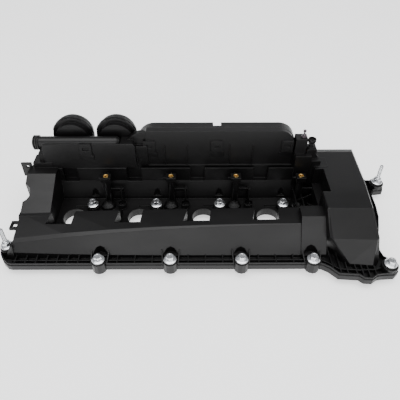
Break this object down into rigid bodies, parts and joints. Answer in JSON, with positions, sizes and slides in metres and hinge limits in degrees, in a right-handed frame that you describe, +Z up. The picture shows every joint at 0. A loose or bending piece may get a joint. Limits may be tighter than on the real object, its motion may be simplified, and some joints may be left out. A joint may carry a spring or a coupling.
{
  "type": "cylinder head cover",
  "caption": "Moulded plastic cam cover with bolted flange, spark-plug wells, coil screw columns, timing casing, oil separator and breather pipe.",
  "frame": {"origin": "under the middle of the bounding box, at the height of the seated bolts' tips, 9.7 mm below the gasket face", "axes": "+X along the engine towards the timing-chain end, +Y across it towards the oil separator, +Z up from the gasket face"},
  "size_m": [0.5976, 0.2462, 0.1475],
  "materials": {
    "black_plastic": "satin glass-filled moulding",
    "rubber": "matt black",
    "zinc_steel": "bright zinc plate",
    "brass": "turned and knurled",
    "plain_steel": "plain steel"
  },
  "bodies": {
    "cover": {"cover_moulding": "black_plastic", "perimeter_gasket": "rubber", "separator_lid": "black_plastic", "separator_baffle": "black_plastic", "well_seal_1": "rubber", "coil_insert_1": "brass", "well_seal_2": "rubber", "coil_insert_2": "brass", "well_seal_3": "rubber", "coil_insert_3": "brass", "well_seal_4": "rubber", "coil_insert_4": "brass", "isolator_front_1": "rubber", "isolator_front_2": "rubber", "isolator_front_3": "rubber", "isolator_front_4": "rubber", "isolator_valley_1": "rubber", "isolator_valley_2": "rubber", "isolator_valley_3": "rubber", "isolator_valley_4": "rubber", "isolator_back_1": "rubber", "isolator_back_2": "rubber", "isolator_back_3": "rubber", "isolator_timing_front": "rubber", "isolator_left_end": "rubber", "isolator_left_front": "rubber", "isolator_right_back": "rubber", "regulator_cap_1": "black_plastic", "regulator_diaphragm_1": "rubber", "regulator_spring_1": "plain_steel", "regulator_cap_2": "black_plastic", "regulator_diaphragm_2": "rubber", "regulator_spring_2": "plain_steel", "breather_pipe": "black_plastic", "breather_o_ring": "rubber", "hose_spigot": "black_plastic", "spigot_o_ring": "rubber", "ball_stud": "plain_steel"},
    "bolt_front_1": {"bolt_front_1": "zinc_steel"},
    "bolt_front_2": {"bolt_front_2": "zinc_steel"},
    "bolt_front_3": {"bolt_front_3": "zinc_steel"},
    "bolt_front_4": {"bolt_front_4": "zinc_steel"},
    "bolt_valley_1": {"bolt_valley_1": "zinc_steel"},
    "bolt_valley_2": {"bolt_valley_2": "zinc_steel"},
    "bolt_valley_3": {"bolt_valley_3": "zinc_steel"},
    "bolt_valley_4": {"bolt_valley_4": "zinc_steel"},
    "bolt_back_1": {"bolt_back_1": "zinc_steel"},
    "bolt_back_2": {"bolt_back_2": "zinc_steel"},
    "bolt_back_3": {"bolt_back_3": "zinc_steel"},
    "bolt_timing_front": {"bolt_timing_front": "zinc_steel"},
    "bolt_left_end": {"bolt_left_end": "zinc_steel"},
    "stud_bolt_left_front": {"stud_bolt_left_front": "zinc_steel"},
    "stud_bolt_right_back": {"stud_bolt_right_back": "zinc_steel"},
    "regulator_plate_1": {"regulator_plate_1": "plain_steel"},
    "regulator_plate_2": {"regulator_plate_2": "plain_steel"}
  },
  "joints": [
    {"name": "bolt_front_1_lift", "type": "slide", "parent": "cover", "child": "bolt_front_1", "axis": [0, 0, 1], "range_m": [0, 0.0105]},
    {"name": "bolt_front_2_lift", "type": "slide", "parent": "cover", "child": "bolt_front_2", "axis": [0, 0, 1], "range_m": [0, 0.0105]},
    {"name": "bolt_front_3_lift", "type": "slide", "parent": "cover", "child": "bolt_front_3", "axis": [0, 0, 1], "range_m": [0, 0.0105]},
    {"name": "bolt_front_4_lift", "type": "slide", "parent": "cover", "child": "bolt_front_4", "axis": [0, 0, 1], "range_m": [0, 0.0105]},
    {"name": "bolt_valley_1_lift", "type": "slide", "parent": "cover", "child": "bolt_valley_1", "axis": [0, 0, 1], "range_m": [0, 0.0105]},
    {"name": "bolt_valley_2_lift", "type": "slide", "parent": "cover", "child": "bolt_valley_2", "axis": [0, 0, 1], "range_m": [0, 0.0105]},
    {"name": "bolt_valley_3_lift", "type": "slide", "parent": "cover", "child": "bolt_valley_3", "axis": [0, 0, 1], "range_m": [0, 0.0105]},
    {"name": "bolt_valley_4_lift", "type": "slide", "parent": "cover", "child": "bolt_valley_4", "axis": [0, 0, 1], "range_m": [0, 0.0105]},
    {"name": "bolt_back_1_lift", "type": "slide", "parent": "cover", "child": "bolt_back_1", "axis": [0, 0, 1], "range_m": [0, 0.0105]},
    {"name": "bolt_back_2_lift", "type": "slide", "parent": "cover", "child": "bolt_back_2", "axis": [0, 0, 1], "range_m": [0, 0.0105]},
    {"name": "bolt_back_3_lift", "type": "slide", "parent": "cover", "child": "bolt_back_3", "axis": [0, 0, 1], "range_m": [0, 0.0105]},
    {"name": "bolt_timing_front_lift", "type": "slide", "parent": "cover", "child": "bolt_timing_front", "axis": [0, 0, 1], "range_m": [0, 0.0105]},
    {"name": "bolt_left_end_lift", "type": "slide", "parent": "cover", "child": "bolt_left_end", "axis": [0, 0, 1], "range_m": [0, 0.0105]},
    {"name": "stud_bolt_left_front_lift", "type": "slide", "parent": "cover", "child": "stud_bolt_left_front", "axis": [0, 0, 1], "range_m": [0, 0.0105]},
    {"name": "stud_bolt_right_back_lift", "type": "slide", "parent": "cover", "child": "stud_bolt_right_back", "axis": [0, 0, 1], "range_m": [0, 0.0105]},
    {"name": "regulator_plate_1_stroke", "type": "slide", "parent": "cover", "child": "regulator_plate_1", "axis": [0, -1, 0], "range_m": [0, 0.0032], "stiffness_N_per_m": 300, "springref_m": -0.002},
    {"name": "regulator_plate_2_stroke", "type": "slide", "parent": "cover", "child": "regulator_plate_2", "axis": [0, -1, 0], "range_m": [0, 0.0032], "stiffness_N_per_m": 300, "springref_m": -0.002}
  ]
}
